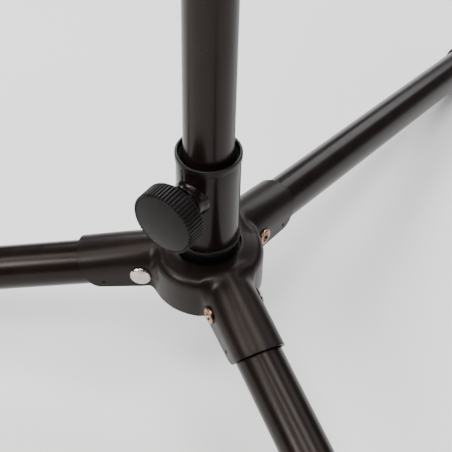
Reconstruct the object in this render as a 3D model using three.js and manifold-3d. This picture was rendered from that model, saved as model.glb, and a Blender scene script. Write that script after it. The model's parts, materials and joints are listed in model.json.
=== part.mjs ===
// Music stand with a folding three-legged base. Millimetres, +Z up, the player sits on the -Y side.
// The hub is built about the point where the three leg axes cross the mast axis.
import * as THREE from 'three';
import { mergeVertices } from 'three/addons/utils/BufferGeometryUtils.js';
import Module from 'manifold-3d';

const wasm = await Module();
wasm.setup();

// ---------------------------------------------------------------- driving dimensions
const GAP = 0.3; // clearance between pieces that touch
const ROUND = 32; // sides of a round piece
const SMALL_ROUND = 20; // sides of a screw, boss or pin
const DEG = Math.PI / 180;
const THROUGH = 40; // half-length of a cutter that passes right through a piece

const HUB_HEIGHT = 89.75; // crossing point of the leg axes, above the floor
const LEG_TILT = 12.5 * DEG; // the open legs fall away from the hub at this angle
const LEG_AZIMUTHS = { rear: 90, left: 210, right: 330 };
const LEG_RADIUS = 12;
const LEG_WALL = 1.2;
const LEG_END = 359.5; // outer end of the tube, along the leg from the mast axis
const LEG_START = 18.5; // inner end of the tube
const PIVOT_REACH = 34.5; // rivet, along the leg from the mast axis

// The tube's inner end, from the rivet: cut back above so that it clears the roof as the leg folds.
const LEG_RELIEF = [[-30, 14], [-3.4, 14], [-3.4, -0.5], [-11, -13], [-30, -13]];

const FOOT = { radius: 14, start: 338, end: 365, lead: 3, step: 0.8, chamfer: 2 };

const ARM_HALF_WIDTH = 13.6;
const ARM_ROOF_RAISE = { hub: 1.7, end: 0.2 }; // centre of the round roof, above the leg axis
const ARM_SKIRT = { hub: 7.8, end: 6 }; // lower edge of the walls, below the leg axis
const ARM_TAPER = { from: 34, to: 62 }; // the roof and the walls' lower edge taper over this reach
const ARM_END = 64; // along the leg from the mast axis
const ARM_SLANT = 0.28; // the arm's end runs out this much further per unit of height
const ARM_SLANT_FROM = 45; // reach where the slant begins
const ARM_SECTIONS = [52, ARM_SLANT_FROM, PIVOT_REACH]; // reaches of the plain sections
const ARM_CORNER = 4.5; // rounding of the walls' lower outer corners
const SHEET = 1.3; // hub sheet thickness
const DRUM_RADIUS = 29.6;
const DRUM_SHOULDER = 6;
const DRUM_TOP = 7.4; // above the crossing point
const DRUM_SKIRT = 17; // below the crossing point
const DRUM_BLEND = 40 * DEG; // the arm ridge melts into the drum top over this angle
const FILLET = 6; // plan radius between an arm and the drum
const ARM_SQUARE = { from: 33, over: 12 }; // sections turn square to the leg over this reach
const HUB_HOLE = 17.8;
const HOLE_TOP = 9.0; // edge of the hole, above the crossing point
const HOLE_LAND = 8; // the roof levels out over this distance from the hole
const DIMPLE_REACH = 55.5;
const DIMPLE_DROP = 2.7;
const DIMPLE_RADIUS = 1.3;
const DIMPLE_CENTRE = ARM_HALF_WIDTH + 0.6; // centre of the dimple's ball, from the leg axis

const RIVET_SHANK = 2.5;
const RIVET_HEAD = 5.8;
const RIVET_DOME = 2.0;
const RIVET_ROLL = 4.8;
const RIVET_ROLL_HEIGHT = 1.5;
const RIVET_BORE = 1.9;
const RIVET_BORE_DEPTH = 3;

const MAST_RADIUS = 12.5;
const MAST_WALL = 1.2;
const MAST_FOOT = -4.7; // lower end of the mast, from the crossing point
const MAST_LENGTH = 560;
const UPPER_RADIUS = 9.5;
const UPPER_WALL = 1.0;
const UPPER_LENGTH = 600;
const UPPER_INSERTED = 312; // length of the upper tube inside the lower one in the stored pose

const SLEEVE_RADIUS = 16;
const SLEEVE_WALL = 1.5;
const COLLAR = { neck: -8, ring: 14.3, seam: 17.0, rim: 67.8, top: 71.3 };
const RING_RADIUS = 16.8;
const RIM_RADIUS = 16.5;
const RIM_MOUTH = 15.1;
const BUSH_BORE = MAST_RADIUS + GAP;
const SPIGOT_RADIUS = SLEEVE_RADIUS - SLEEVE_WALL - GAP;
const SPIGOT = { base: 14, top: 11, clamp: 9 }; // depth of a bush's spigot in its sleeve
const NECK = { radius: 15.7, drain: 3, floor: 3 }; // foot of the collar, through the hub's hole
const BACKING = { radius: 19.8, low: 2.6, high: 5.6 }; // ring under the hub's roof, round the neck

const SCREW_RADIUS = 4;
const SCREW_HOLE = SCREW_RADIUS + GAP;
const SCREW_TIP = 0.8; // chamfer of the point
const SCREW_IN_KNOB = 8;
const SCREW_HEIGHT = 50.8; // base thumb screw, above the crossing point
const PAD_RADIUS = 3.5;
const PAD_THICKNESS = 0.9;
const BOSS_RADIUS = 9.2;
const BOSS_FACE = 19.5; // from the mast axis
const KNOB = { back: 25.7, band: 26.7, chamfer: 36.2, rim: 37.6, crown: 38.9 };
const KNOB_RADIUS = 17;
const KNOB_ROOT = 16.4;
const KNOB_RIM_RADIUS = 15.8;
const KNOB_RIBS = 36;
const TILT_KNOB_FACE = 1.8; // thickness left over the end of the tilt bolt

const CLAMP = { bottom: -46, ring: -43, rim: 0.3, top: 4.3, screw: -20 }; // from the lower tube's top
const CLAMP_SPIGOT_DEPTH = 32;
const PLUG = { depth: 14, wall: 2 }; // in the lower tube's foot
const GUIDE = { skirt: 8, chamfer: 0.8, spigot: 16 }; // under the upper tube

const TILT_REST = 25 * DEG; // the desk leans back this far in the stored pose
const HEAD = { radius: 13, socket: 18, knuckle: 12, halfWidth: 14, rise: 18, shoulder: 8, floor: 2 };
const HEAD_PIN = { radius: 1.5, hole: 1.8, drop: 9 }; // drop is below the upper tube's end
const TILT_BOLT = { left: -18.1, right: 31.0, head: 6.5, headThickness: 5 };
const WASHER = { radius: 11, thickness: 1.2 };
const CAPTIVE = { radius: 9, thickness: 1.5 }; // washer between the bracket and the tilt knob
const BRACKET = {
  thickness: 2, earRadius: 13, earRoot: 20, halfWidth: 30, halfHeight: 45, corner: 6, standoff: 30,
};
const BRACKET_EAR = HEAD.halfWidth + GAP + WASHER.thickness + GAP; // inner face of an ear
const DESK = {
  width: 500, height: 340, rim: 8, sheet: 1.2, corner: 30, below: 160, shelf: 58, lip: 10, bend: 1.5,
};
const SHELF_CUT = { size: 40, along: 16, out: 12 }; // 45 degree cut across each front corner of the shelf
const DESK_RIVET = { x: 22, z: 34, shank: 2.4, head: 4.8, thickness: 1.6 };

// ---------------------------------------------------------------- solids
function solid(geometry) {
  const bare = geometry.index ? geometry.toNonIndexed() : geometry.clone();
  for (const name of Object.keys(bare.attributes)) {
    if (name !== 'position') bare.deleteAttribute(name);
  }
  const values = bare.attributes.position.array;
  for (let i = 0; i < values.length; i += 1) values[i] = Math.round(values[i] * 1e4) / 1e4;
  const merged = mergeVertices(bare, 1e-5);
  return new wasm.Manifold(new wasm.Mesh({
    numProp: 3,
    vertProperties: new Float32Array(merged.attributes.position.array),
    triVerts: new Uint32Array(merged.index.array),
  }));
}

function geometryOf(manifold) {
  const mesh = manifold.getMesh();
  const geometry = new THREE.BufferGeometry();
  geometry.setAttribute('position', new THREE.BufferAttribute(new Float32Array(mesh.vertProperties), 3));
  geometry.setIndex(new THREE.BufferAttribute(new Uint32Array(mesh.triVerts), 1));
  geometry.computeVertexNormals();
  return geometry;
}

// A turned piece about +Z. The profile is a closed loop of [radius, height].
function turned(profile, sides = ROUND) {
  const closed = profile[0][0] === 0 && profile.at(-1)[0] === 0 ? profile : [...profile, profile[0]];
  const points = closed.map(([r, z]) => new THREE.Vector2(r, z));
  const geometry = new THREE.LatheGeometry(points, sides).rotateX(Math.PI / 2);
  return outward(solid(geometry), geometry);
}

// Turns a solid's faces out when its profile was listed the other way round.
function outward(made, geometry) {
  if (made.volume() >= 0) return made;
  const flipped = geometry.toNonIndexed();
  const p = flipped.attributes.position;
  for (let i = 0; i < p.count; i += 3) {
    const a = new THREE.Vector3().fromBufferAttribute(p, i);
    const b = new THREE.Vector3().fromBufferAttribute(p, i + 1);
    p.setXYZ(i, b.x, b.y, b.z);
    p.setXYZ(i + 1, a.x, a.y, a.z);
  }
  return solid(flipped);
}

function ring(inner, outer, low, high, sides = ROUND) {
  return turned([[inner, low], [outer, low], [outer, high], [inner, high]], sides);
}

function rod(radius, low, high, sides = ROUND) {
  return turned([[0, low], [radius, low], [radius, high], [0, high]], sides);
}

function block(width, depth, height, centre) {
  return solid(new THREE.BoxGeometry(width, depth, height).translate(...centre));
}

// An outline of [x, y] points, extruded along +Z.
function plate(outline, low, high) {
  const shape = new THREE.Shape(outline.map(([x, y]) => new THREE.Vector2(x, y)));
  const geometry = new THREE.ExtrudeGeometry(shape, { depth: high - low, bevelEnabled: false });
  return solid(geometry.translate(0, 0, low));
}

const along = {
  x: (made) => made.rotate([0, 90, 0]),
  y: (made) => made.rotate([-90, 0, 0]),
  front: (made) => made.rotate([90, 0, 0]), // the piece's +Z comes to -Y
};

// ---------------------------------------------------------------- finishes
const finish = {
  powder: () => new THREE.MeshStandardMaterial({ color: 0x17171a, roughness: 0.45, metalness: 0.3 }),
  moulded: () => new THREE.MeshStandardMaterial({ color: 0x141416, roughness: 0.55, metalness: 0 }),
  rubber: () => new THREE.MeshStandardMaterial({ color: 0x101010, roughness: 0.85, metalness: 0 }),
  nickel: () => new THREE.MeshStandardMaterial({ color: 0xb9b2a6, roughness: 0.3, metalness: 1 }),
  zinc: () => new THREE.MeshStandardMaterial({ color: 0x9a9ca0, roughness: 0.35, metalness: 1 }),
  brass: () => new THREE.MeshStandardMaterial({ color: 0xb08d4a, roughness: 0.35, metalness: 1 }),
  nylon: () => new THREE.MeshStandardMaterial({ color: 0xd8d6cf, roughness: 0.5, metalness: 0 }),
};

function piece(name, made, material) {
  const mesh = new THREE.Mesh(geometryOf(made), material);
  mesh.name = name;
  return mesh;
}

// ---------------------------------------------------------------- hub pressing
const smooth = (t) => {
  const k = Math.min(Math.max(t, 0), 1);
  return k * k * (3 - 2 * k);
};
const mix = (a, b, t) => a + (b - a) * t;
const FILLET_CENTRE = {
  x: Math.sqrt((DRUM_RADIUS + FILLET) ** 2 - (ARM_HALF_WIDTH + FILLET) ** 2),
  y: ARM_HALF_WIDTH + FILLET,
};
const FILLET_AZIMUTH = Math.atan2(FILLET_CENTRE.y, FILLET_CENTRE.x);

// Stations round one sixth of the hub, from an arm's end to the middle of the drum: where the section
// meets the wall, where it starts on the ridge or the hole's edge, and how far it is from arm to drum.
function hubStations(inset) {
  const half = ARM_HALF_WIDTH - inset;
  const stations = [];
  const corner = [0, 0.2, 0.55, 1].map((t) => ARM_END - ARM_CORNER * t);
  for (const s of [...corner, ...ARM_SECTIONS]) {
    const x = s * Math.cos(LEG_TILT);
    stations.push({ wall: [x, half], start: [x, 0], toDrum: 0, reach: s });
  }
  const holeRay = -Math.atan2(FILLET_CENTRE.y, HUB_HOLE - FILLET_CENTRE.x);
  const fan = [-Math.PI / 2, 0, 0, holeRay, 0, 0, 0, FILLET_AZIMUTH - Math.PI];
  [[0, 3], [3, 7]].forEach(([from, to]) => {
    for (let i = from + 1; i < to; i += 1) fan[i] = mix(fan[from], fan[to], (i - from) / (to - from));
  });
  for (const angle of fan) {
    const t = (angle - fan[0]) / (fan.at(-1) - fan[0]);
    const ray = [Math.cos(angle), Math.sin(angle)];
    const radius = FILLET + inset;
    const wall = [FILLET_CENTRE.x + radius * ray[0], FILLET_CENTRE.y + radius * ray[1]];
    stations.push({ wall, start: fanStart(ray), toDrum: smooth(t), reach: 0 });
  }
  const drumSteps = 3;
  for (let i = 1; i <= drumSteps; i += 1) {
    const azimuth = mix(FILLET_AZIMUTH, Math.PI / 3, i / drumSteps);
    const ray = [Math.cos(azimuth), Math.sin(azimuth)];
    const drum = DRUM_RADIUS - inset;
    stations.push({
      wall: [drum * ray[0], drum * ray[1]],
      start: [HUB_HOLE * ray[0], HUB_HOLE * ray[1]],
      toDrum: 1,
      reach: 0,
    });
  }
  return stations;
}

// A line of the fan ends on the arm's ridge or, once it would pass inside it, on the hub hole's edge.
function fanStart(ray) {
  const toRidge = -FILLET_CENTRE.y / ray[1];
  const ridge = FILLET_CENTRE.x + toRidge * ray[0];
  if (ridge >= HUB_HOLE - 1e-6) return [ridge, 0];
  const across = FILLET_CENTRE.x * ray[0] + FILLET_CENTRE.y * ray[1];
  const excess = FILLET_CENTRE.x ** 2 + FILLET_CENTRE.y ** 2 - HUB_HOLE ** 2;
  const distance = -across - Math.sqrt(across ** 2 - excess);
  return [FILLET_CENTRE.x + distance * ray[0], FILLET_CENTRE.y + distance * ray[1]];
}

// How far along its taper an arm is, from the hub to the end.
function taper(x) {
  const share = (x / Math.cos(LEG_TILT) - ARM_TAPER.from) / (ARM_TAPER.to - ARM_TAPER.from);
  return Math.min(Math.max(share, 0), 1);
}

function roofHeight(x, y, inset) {
  const raise = mix(ARM_ROOF_RAISE.hub, ARM_ROOF_RAISE.end, taper(x));
  const ridge = (ARM_HALF_WIDTH + raise - inset) / Math.cos(LEG_TILT) - x * Math.tan(LEG_TILT);
  const azimuth = Math.abs(Math.atan2(y, x));
  const roof = mix(ridge, DRUM_TOP - inset, smooth(azimuth / DRUM_BLEND));
  return mix(HOLE_TOP - inset, roof, smooth((Math.hypot(x, y) - HUB_HOLE) / HOLE_LAND));
}

function skirtHeight(station, x) {
  const past = Math.max(station.reach - (ARM_END - ARM_CORNER), 0);
  const lift = ARM_CORNER - Math.sqrt(Math.max(ARM_CORNER ** 2 - past ** 2, 0));
  const skirt = mix(ARM_SKIRT.hub, ARM_SKIRT.end, taper(x));
  const arm = -x * Math.tan(LEG_TILT) - (skirt - lift) / Math.cos(LEG_TILT);
  return mix(arm, -DRUM_SKIRT, station.toDrum);
}

// One section of the pressing: across the roof, down round the shoulder, down the wall.
function hubSection(station, inset) {
  const [wx, wy] = station.wall;
  const [sx, sy] = station.start;
  const length = Math.hypot(wx - sx, wy - sy);
  const armShoulder = ARM_HALF_WIDTH - inset;
  const shoulder = Math.min(mix(armShoulder, DRUM_SHOULDER - inset, station.toDrum), length);
  const stretch = mix(1 / Math.cos(LEG_TILT), 1, station.toDrum);
  const flatSteps = 2;
  const roundSteps = 5;
  const wallSteps = 1;
  const points = [];
  const place = (fromWall, drop) => {
    const t = fromWall / length;
    const x = mix(wx, sx, t);
    const y = mix(wy, sy, t);
    points.push([x, y, roofHeight(x, y, inset) - drop]);
  };
  for (let i = 0; i < flatSteps; i += 1) place(mix(length, shoulder, i / flatSteps), 0);
  for (let i = 0; i <= roundSteps; i += 1) {
    const angle = (i / roundSteps) * (Math.PI / 2);
    place(shoulder * (1 - Math.sin(angle)), shoulder * stretch * (1 - Math.cos(angle)));
  }
  const [x, y, top] = points.at(-1);
  const low = skirtHeight(station, x);
  for (let i = 1; i <= wallSteps; i += 1) points.push([x, y, mix(top, low, i / wallSteps)]);
  return station.reach ? points.map((p) => squareToLeg(p, station.reach)) : points;
}

// Slides a point along the leg: the arm's sections stand square to the leg, and slant towards its end.
function squareToLeg([x, y, z], reach) {
  const swing = smooth((reach - ARM_SQUARE.from) / ARM_SQUARE.over);
  const height = z * Math.cos(LEG_TILT) + x * Math.sin(LEG_TILT);
  const slant = ARM_SLANT * height * smooth((reach - ARM_SLANT_FROM) / (ARM_END - ARM_SLANT_FROM));
  const slide = swing * (reach - x * Math.cos(LEG_TILT) + z * Math.sin(LEG_TILT)) + slant;
  return [x + slide * Math.cos(LEG_TILT), y, z - slide * Math.sin(LEG_TILT)];
}

function hubShell() {
  const grids = [0, SHEET].map((inset) => hubStations(inset).map((s) => hubSection(s, inset)));
  const triangles = [];
  const quad = (a, b, c, d) => triangles.push(a, b, c, a, c, d);
  const [outer, inner] = grids;
  const last = outer[0].length - 1;
  for (let i = 0; i < outer.length - 1; i += 1) {
    for (let j = 0; j < last; j += 1) {
      quad(outer[i][j], outer[i][j + 1], outer[i + 1][j + 1], outer[i + 1][j]);
      quad(inner[i][j], inner[i + 1][j], inner[i + 1][j + 1], inner[i][j + 1]);
    }
    quad(outer[i][last], inner[i][last], inner[i + 1][last], outer[i + 1][last]);
    const onHole = [outer[i][0], outer[i + 1][0]].every(([x, y]) => Math.hypot(x, y) < HUB_HOLE + 1e-6);
    if (onHole) quad(outer[i][0], outer[i + 1][0], inner[i + 1][0], inner[i][0]);
  }
  for (let j = 0; j < last; j += 1) quad(outer[0][j], inner[0][j], inner[0][j + 1], outer[0][j + 1]);
  const values = [];
  for (let sector = 0; sector < 3; sector += 1) {
    const turn = sector * 120 * DEG + LEG_AZIMUTHS.rear * DEG;
    const put = ([x, y, z], side) => values.push(
      x * Math.cos(turn) - side * y * Math.sin(turn),
      x * Math.sin(turn) + side * y * Math.cos(turn),
      z,
    );
    for (let i = 0; i < triangles.length; i += 3) {
      [0, 1, 2].forEach((k) => put(triangles[i + k], 1));
      [2, 1, 0].forEach((k) => put(triangles[i + k], -1));
    }
  }
  const geometry = new THREE.BufferGeometry();
  geometry.setAttribute('position', new THREE.BufferAttribute(new Float32Array(values), 3));
  let shell = outward(solid(geometry), geometry);
  for (const azimuth of Object.values(LEG_AZIMUTHS)) {
    shell = shell.subtract(onLeg(crossRod(RIVET_SHANK + GAP, THROUGH), azimuth));
    for (const side of [-1, 1]) {
      const pit = solid(new THREE.SphereGeometry(DIMPLE_RADIUS, 8, 6))
        .translate([DIMPLE_REACH, side * DIMPLE_CENTRE, -DIMPLE_DROP]);
      shell = shell.subtract(onLeg(pit, azimuth));
    }
  }
  return shell;
}

// Legs are made lying along +X from the mast axis and are then tilted down and turned to their azimuth.
function onLeg(made, azimuth) {
  return made.rotate([0, LEG_TILT / DEG, 0]).rotate([0, 0, azimuth]);
}

function crossRod(radius, halfLength) {
  return along.y(rod(radius, -halfLength, halfLength, 16)).translate([PIVOT_REACH, 0, 0]);
}

// ---------------------------------------------------------------- legs
function legTube() {
  const tube = along.x(ring(LEG_RADIUS - LEG_WALL, LEG_RADIUS, LEG_START, LEG_END));
  const outline = LEG_RELIEF.map(([x, z]) => [x, -z]);
  const relief = along.y(plate(outline, -ARM_HALF_WIDTH, ARM_HALF_WIDTH)).translate([PIVOT_REACH, 0, 0]);
  return tube.subtract(relief).subtract(crossRod(RIVET_SHANK + GAP, THROUGH));
}

function legFoot(azimuth) {
  const { radius, start, end, lead, step, chamfer } = FOOT;
  const cap = along.x(turned([
    [LEG_RADIUS + GAP, start], [radius - step, start], [radius, start + lead],
    [radius, end - chamfer], [radius - chamfer, end], [0, end],
    [0, LEG_END + GAP], [LEG_RADIUS + GAP, LEG_END + GAP],
  ]));
  const floor = block(3 * end, 3 * end, radius, [0, 0, -HUB_HEIGHT - radius / 2]);
  return onLeg(cap, azimuth).subtract(floor);
}

function legRivet() {
  const face = ARM_HALF_WIDTH + GAP;
  const dome = [1, 0.95, 0.65, 0.2].map((height, i) => [(i / 3) * RIVET_HEAD, -face - height * RIVET_DOME]);
  const rolled = face + RIVET_ROLL_HEIGHT;
  return along.y(turned([
    ...dome, [RIVET_HEAD, -face], [RIVET_SHANK, -face], [RIVET_SHANK, face], [RIVET_ROLL, face],
    [RIVET_ROLL, rolled - 0.8], [RIVET_ROLL - 0.9, rolled], [RIVET_BORE + 0.7, rolled],
    [RIVET_BORE, rolled - 0.7], [RIVET_BORE, face - RIVET_BORE_DEPTH], [0, face - RIVET_BORE_DEPTH - 0.6],
  ], SMALL_ROUND)).translate([PIVOT_REACH, 0, 0]).rotate([180, 0, 0]);
}

// ---------------------------------------------------------------- collar
function collarBaseBush() {
  const { neck, ring: flange, seam } = COLLAR;
  return turned([
    [NECK.drain, neck], [NECK.radius, neck], [NECK.radius, flange], [RING_RADIUS, flange],
    [RING_RADIUS, seam], [SPIGOT_RADIUS, seam], [SPIGOT_RADIUS, seam + SPIGOT.base],
    [BUSH_BORE, seam + SPIGOT.base], [BUSH_BORE, neck + NECK.floor], [NECK.drain, neck + NECK.floor],
  ]);
}

function collarTopBush() {
  const { rim, top } = COLLAR;
  return turned([
    [SPIGOT_RADIUS, rim - SPIGOT.top], [SPIGOT_RADIUS, rim], [RIM_RADIUS, rim], [RIM_RADIUS, top],
    [RIM_MOUTH, top], [RIM_MOUTH, rim + 0.6], [BUSH_BORE, rim - 1.2], [BUSH_BORE, rim - SPIGOT.top],
  ]);
}

function sleeve(low, high, screw) {
  const tube = ring(SLEEVE_RADIUS - SLEEVE_WALL, SLEEVE_RADIUS, low, high);
  return tube.subtract(screwWay(screw));
}

// The hole for a thumb screw along -Y, through one wall of a tube.
function screwWay(height) {
  return along.front(rod(SCREW_HOLE + 0.2, UPPER_RADIUS, BOSS_FACE, SMALL_ROUND)).translate([0, 0, height]);
}

function threadBoss() {
  const boss = along.front(turned([
    [SCREW_HOLE, 12], [BOSS_RADIUS, 12], [BOSS_RADIUS, BOSS_FACE], [SCREW_HOLE, BOSS_FACE],
  ], SMALL_ROUND));
  return boss.subtract(rod(SLEEVE_RADIUS + GAP, -BOSS_RADIUS - 1, BOSS_RADIUS + 1));
}

function backingRing() {
  return ring(NECK.radius + GAP, BACKING.radius, BACKING.low, BACKING.high);
}

// ---------------------------------------------------------------- thumb screws
function knobBody(socketDepth) {
  const { back, band, chamfer, rim, crown } = KNOB;
  const turnedBody = turned([
    [SCREW_HOLE, back], [KNOB_RIM_RADIUS - 0.6, back], [KNOB_RADIUS, band], [KNOB_RADIUS, chamfer],
    [KNOB_RIM_RADIUS, rim], [0, crown],
    [0, back + socketDepth], [SCREW_HOLE, back + socketDepth],
  ], KNOB_RIBS);
  const star = [];
  for (let i = 0; i < 2 * KNOB_RIBS; i += 1) {
    const radius = i % 2 ? KNOB_ROOT : KNOB_RADIUS;
    const angle = (i / KNOB_RIBS) * Math.PI;
    star.push([radius * Math.cos(angle), radius * Math.sin(angle)]);
  }
  return turnedBody.intersect(plate(star, back - 1, crown + 1));
}

function screwShank(start) {
  const end = KNOB.back + SCREW_IN_KNOB;
  return turned([
    [0, start], [SCREW_RADIUS - SCREW_TIP, start], [SCREW_RADIUS, start + SCREW_TIP], [SCREW_RADIUS, end],
    [0, end],
  ], SMALL_ROUND);
}

// A thumb screw along -Y through a sleeve at height z, pressing on a tube of the given radius.
function thumbScrew(name, tubeRadius, z, turn) {
  const padStart = tubeRadius + GAP + 0.1;
  const padEnd = padStart + PAD_THICKNESS;
  const place = (made) => along.front(made).translate([0, 0, z]).rotate([0, 0, turn]);
  return [
    piece(`${name}_screw_pad`, place(rod(PAD_RADIUS, padStart, padEnd, SMALL_ROUND)), finish.brass()),
    piece(`${name}_screw`, place(screwShank(padEnd + GAP)), finish.zinc()),
    piece(`${name}_knob`, place(knobBody(SCREW_IN_KNOB + GAP)), finish.moulded()),
  ];
}

// ---------------------------------------------------------------- mast
function mastLower() {
  const top = MAST_FOOT + MAST_LENGTH;
  return ring(MAST_RADIUS - MAST_WALL, MAST_RADIUS, MAST_FOOT, top)
    .subtract(screwWay(top + CLAMP.screw).rotate([0, 0, 180]));
}

function mastUpper(low) {
  const top = low + UPPER_LENGTH;
  return ring(UPPER_RADIUS - UPPER_WALL, UPPER_RADIUS, low, top).subtract(pinHole(top - HEAD_PIN.drop));
}

function pinHole(height) {
  return along.y(rod(HEAD_PIN.hole, -THROUGH, THROUGH, 16)).translate([0, 0, height]);
}

function mastFootPlug() {
  const low = MAST_FOOT;
  const high = low + PLUG.depth;
  const outer = MAST_RADIUS - MAST_WALL - GAP;
  const inner = outer - PLUG.wall;
  return turned([
    [0, low], [outer, low], [outer, high], [inner, high], [inner, low + PLUG.wall], [0, low + PLUG.wall],
  ]);
}

function clampBaseBush(top) {
  const { bottom, ring: seam } = CLAMP;
  return turned([
    [BUSH_BORE, bottom], [RING_RADIUS, bottom], [RING_RADIUS, seam], [SPIGOT_RADIUS, seam],
    [SPIGOT_RADIUS, seam + SPIGOT.clamp], [BUSH_BORE, seam + SPIGOT.clamp],
  ]).translate([0, 0, top]);
}

function clampTopBush(top) {
  const bore = UPPER_RADIUS + GAP;
  const spigot = MAST_RADIUS - MAST_WALL - GAP;
  const { rim, top: crown } = CLAMP;
  const bush = turned([
    [bore, -CLAMP_SPIGOT_DEPTH], [spigot, -CLAMP_SPIGOT_DEPTH], [spigot, rim], [RIM_RADIUS, rim],
    [RIM_RADIUS, crown - 1], [RIM_RADIUS - 1, crown], [bore + 1, crown], [bore, crown - 1],
  ]);
  return bush.subtract(screwWay(CLAMP.screw).rotate([0, 0, 180])).translate([0, 0, top]);
}

function guidePlug(bottom) {
  const { skirt, chamfer, spigot } = GUIDE;
  const inTube = UPPER_RADIUS - UPPER_WALL - GAP;
  const inMast = MAST_RADIUS - MAST_WALL - GAP;
  return turned([
    [0, bottom - skirt], [inMast - chamfer, bottom - skirt], [inMast, bottom - skirt + chamfer],
    [inMast, bottom - GAP], [inTube, bottom - GAP], [inTube, bottom + spigot], [0, bottom + spigot],
  ]);
}

// ---------------------------------------------------------------- desk, made upright about the tilt bolt
function tiltHead() {
  const { radius, socket, knuckle, halfWidth, rise, shoulder, floor } = HEAD;
  const bore = UPPER_RADIUS + GAP;
  const mouth = -rise - socket;
  const seat = -rise + GAP + floor;
  const barrel = turned([
    [bore, mouth], [radius - 0.8, mouth], [radius, mouth + 1], [radius, -shoulder], [0, -shoulder],
    [0, seat], [bore, seat],
  ]);
  const neck = block(2 * radius - 4, 2 * radius - 5, 2 * shoulder, [0, 0, -shoulder])
    .intersect(rod(radius, -2 * shoulder, 0));
  const lug = along.x(rod(knuckle, -halfWidth, halfWidth));
  return barrel.add(neck).add(lug).subtract(along.x(rod(SCREW_HOLE, -THROUGH, THROUGH, SMALL_ROUND)))
    .subtract(pinHole(-rise - HEAD_PIN.drop));
}

function tiltBolt() {
  const { left, right, head, headThickness } = TILT_BOLT;
  return along.x(turned([
    [0, left - headThickness], [head * 0.6, left - headThickness], [head, left - headThickness + 1.4],
    [head, left], [SCREW_RADIUS, left], [SCREW_RADIUS, right - SCREW_TIP],
    [SCREW_RADIUS - SCREW_TIP, right], [0, right],
  ], SMALL_ROUND));
}

function deskBracket() {
  const { thickness, earRadius, earRoot, halfWidth, halfHeight, corner, standoff } = BRACKET;
  const base = roundedPlate(2 * halfWidth, 2 * halfHeight, corner, thickness)
    .rotate([90, 0, 0]).translate([0, -standoff + thickness + GAP, 0]);
  const root = -standoff + GAP + thickness / 4;
  const outline = [[root, -earRoot], [0, -earRadius]];
  for (let i = 1; i < 12; i += 1) {
    const angle = -Math.PI / 2 + (i / 12) * Math.PI;
    outline.push([earRadius * Math.cos(angle), earRadius * Math.sin(angle)]);
  }
  outline.push([0, earRadius], [root, earRoot]);
  const hole = along.x(rod(SCREW_HOLE, -THROUGH, THROUGH, SMALL_ROUND));
  const ear = plate(outline, 0, thickness).rotate([90, 0, 90]);
  const left = ear.translate([-BRACKET_EAR - thickness, 0, 0]);
  const right = ear.translate([BRACKET_EAR, 0, 0]);
  return base.add(left).add(right).subtract(hole).subtract(rivetHoles());
}

function roundedPlate(width, height, corner, thickness) {
  const outline = [];
  const steps = 6;
  for (const [sx, sy, from] of [[1, 1, 0], [-1, 1, 90], [-1, -1, 180], [1, -1, 270]]) {
    for (let i = 0; i <= steps; i += 1) {
      const angle = (from + (i / steps) * 90) * DEG;
      outline.push([
        sx * (width / 2 - corner) + corner * Math.cos(angle),
        sy * (height / 2 - corner) + corner * Math.sin(angle),
      ]);
    }
  }
  return plate(outline, 0, thickness);
}

function rivetHoles() {
  const holes = rivetPlaces().map(([x, z]) => (
    along.y(rod(DESK_RIVET.shank + GAP, -2 * BRACKET.standoff, 0, 16)).translate([x, 0, z])
  ));
  return holes.reduce((all, hole) => all.add(hole));
}

function rivetPlaces() {
  const { x, z } = DESK_RIVET;
  return [[-x, -z], [x, -z], [-x, z], [x, z]];
}

// The tray of the desk with its shelf and lip: one folded sheet. The front face is at y = front.
const DESK_FRONT = -BRACKET.standoff - DESK.sheet;
function deskPanel() {
  const { width, height, rim, sheet, corner, below, shelf, lip, bend } = DESK;
  const middle = height / 2 - below;
  const upright = (made, front) => made.rotate([90, 0, 0]).translate([0, front, middle]);
  const tray = upright(roundedPlate(width, height, corner, rim), DESK_FRONT + rim);
  const hollow = upright(
    roundedPlate(width - 2 * sheet, height - 2 * sheet, corner - sheet, rim),
    DESK_FRONT + sheet + rim,
  );
  const foot = -below;
  const ledge = foot + sheet;
  const lipFront = DESK_FRONT - shelf;
  const lipBack = lipFront + sheet;
  const inSheet = DESK_FRONT + sheet / 2;
  const profile = [
    [inSheet, foot], [lipFront, foot], [lipFront, foot + lip], [lipBack, foot + lip],
    [lipBack, ledge + bend], [lipBack + bend, ledge], [DESK_FRONT - bend, ledge],
    [DESK_FRONT, ledge + bend], [inSheet, ledge + bend],
  ];
  const halfShelf = width / 2 - corner;
  const shelfSheet = plate(profile, -halfShelf, halfShelf).rotate([90, 0, 90]);
  const { size, along: aside, out } = SHELF_CUT;
  const [left, right] = [-1, 1].map((side) => block(size, size, 3 * lip, [0, 0, 0]).rotate([0, 0, 45])
    .translate([side * (halfShelf + aside), lipFront - out, foot]));
  return tray.subtract(hollow).add(shelfSheet).subtract(left).subtract(right).subtract(rivetHoles());
}

function deskRivet(x, z) {
  const { shank, head, thickness } = DESK_RIVET;
  const front = DESK_FRONT - GAP;
  const back = -BRACKET.standoff + BRACKET.thickness + 2 * GAP;
  return along.y(turned([
    [0, front - thickness], [head * 0.6, front - thickness + 0.2], [head, front - 0.3], [head, front],
    [shank, front], [shank, back], [head - 0.8, back], [head - 1.2, back + 1.2], [0, back + 1.4],
  ], SMALL_ROUND)).translate([x, 0, z]);
}

function washer(left, right, radius) {
  return along.x(ring(SCREW_HOLE, radius, left, right));
}

// The tilt knob is threaded on the bolt: its back is shifted to meet the captive washer.
function tiltKnob() {
  const knob = knobBody(KNOB.crown - KNOB.back - TILT_KNOB_FACE);
  const back = BRACKET_EAR + BRACKET.thickness + GAP + CAPTIVE.thickness + GAP;
  return along.x(knob.translate([0, 0, back - KNOB.back]));
}

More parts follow.
